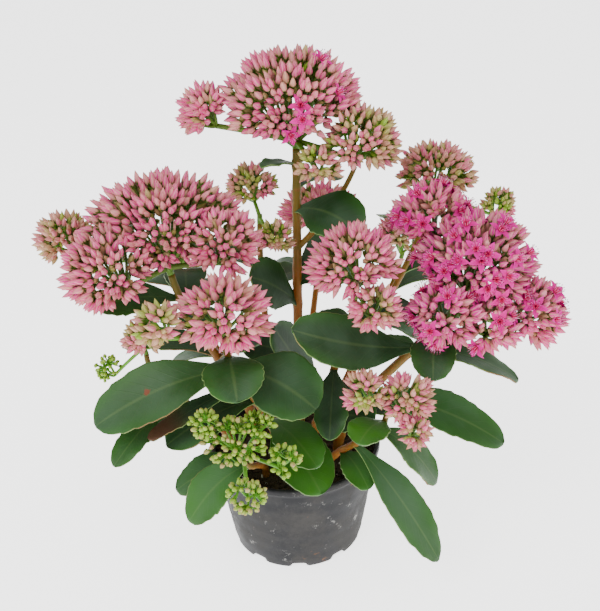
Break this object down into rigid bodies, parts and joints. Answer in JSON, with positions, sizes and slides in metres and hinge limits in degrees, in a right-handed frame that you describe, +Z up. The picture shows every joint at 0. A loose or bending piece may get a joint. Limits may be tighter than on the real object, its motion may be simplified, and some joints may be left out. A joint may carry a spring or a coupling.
{
  "type": "potted stonecrop plant",
  "caption": "Potted flowering stonecrop: fleshy toothed leaves on thick upright stems under domed heads of packed pointed buds, in a squat tapered nursery pot.",
  "frame": {"origin": "centre of the pot's underside, on the ground", "axes": "+Z up along the pot's axis, -Y towards the side seen in the picture, +X to that view's right"},
  "size_m": [0.3283, 0.2669, 0.3457],
  "materials": {
    "black_plastic": "dusty matte black",
    "potting_soil": "rough damp crumb",
    "foliage": "waxy satin",
    "pink_buds": "soft satin",
    "green_buds": "soft satin"
  },
  "bodies": {
    "root": {"pot": "black_plastic", "soil": "potting_soil", "shoot_top": "foliage", "head_top": "pink_buds", "shoot_left": "foliage", "head_left": "pink_buds", "shoot_right": "foliage", "head_right": "pink_buds", "shoot_inner_right": "foliage", "head_inner_right": "pink_buds", "shoot_front_left": "foliage", "head_front_left": "pink_buds", "shoot_back_right": "foliage", "head_back_right": "green_buds", "shoot_back_left": "foliage", "head_back_left": "green_buds", "shoot_low_front": "foliage", "head_low_front": "green_buds", "shoot_low_right": "foliage", "head_low_right": "pink_buds", "shoot_far_left": "foliage", "head_far_left": "green_buds", "shoot_rear": "foliage", "head_rear": "pink_buds", "shoot_rear_left": "foliage", "head_rear_left": "pink_buds", "shoot_rear_right": "foliage", "head_rear_right": "pink_buds"}
  },
  "joints": []
}
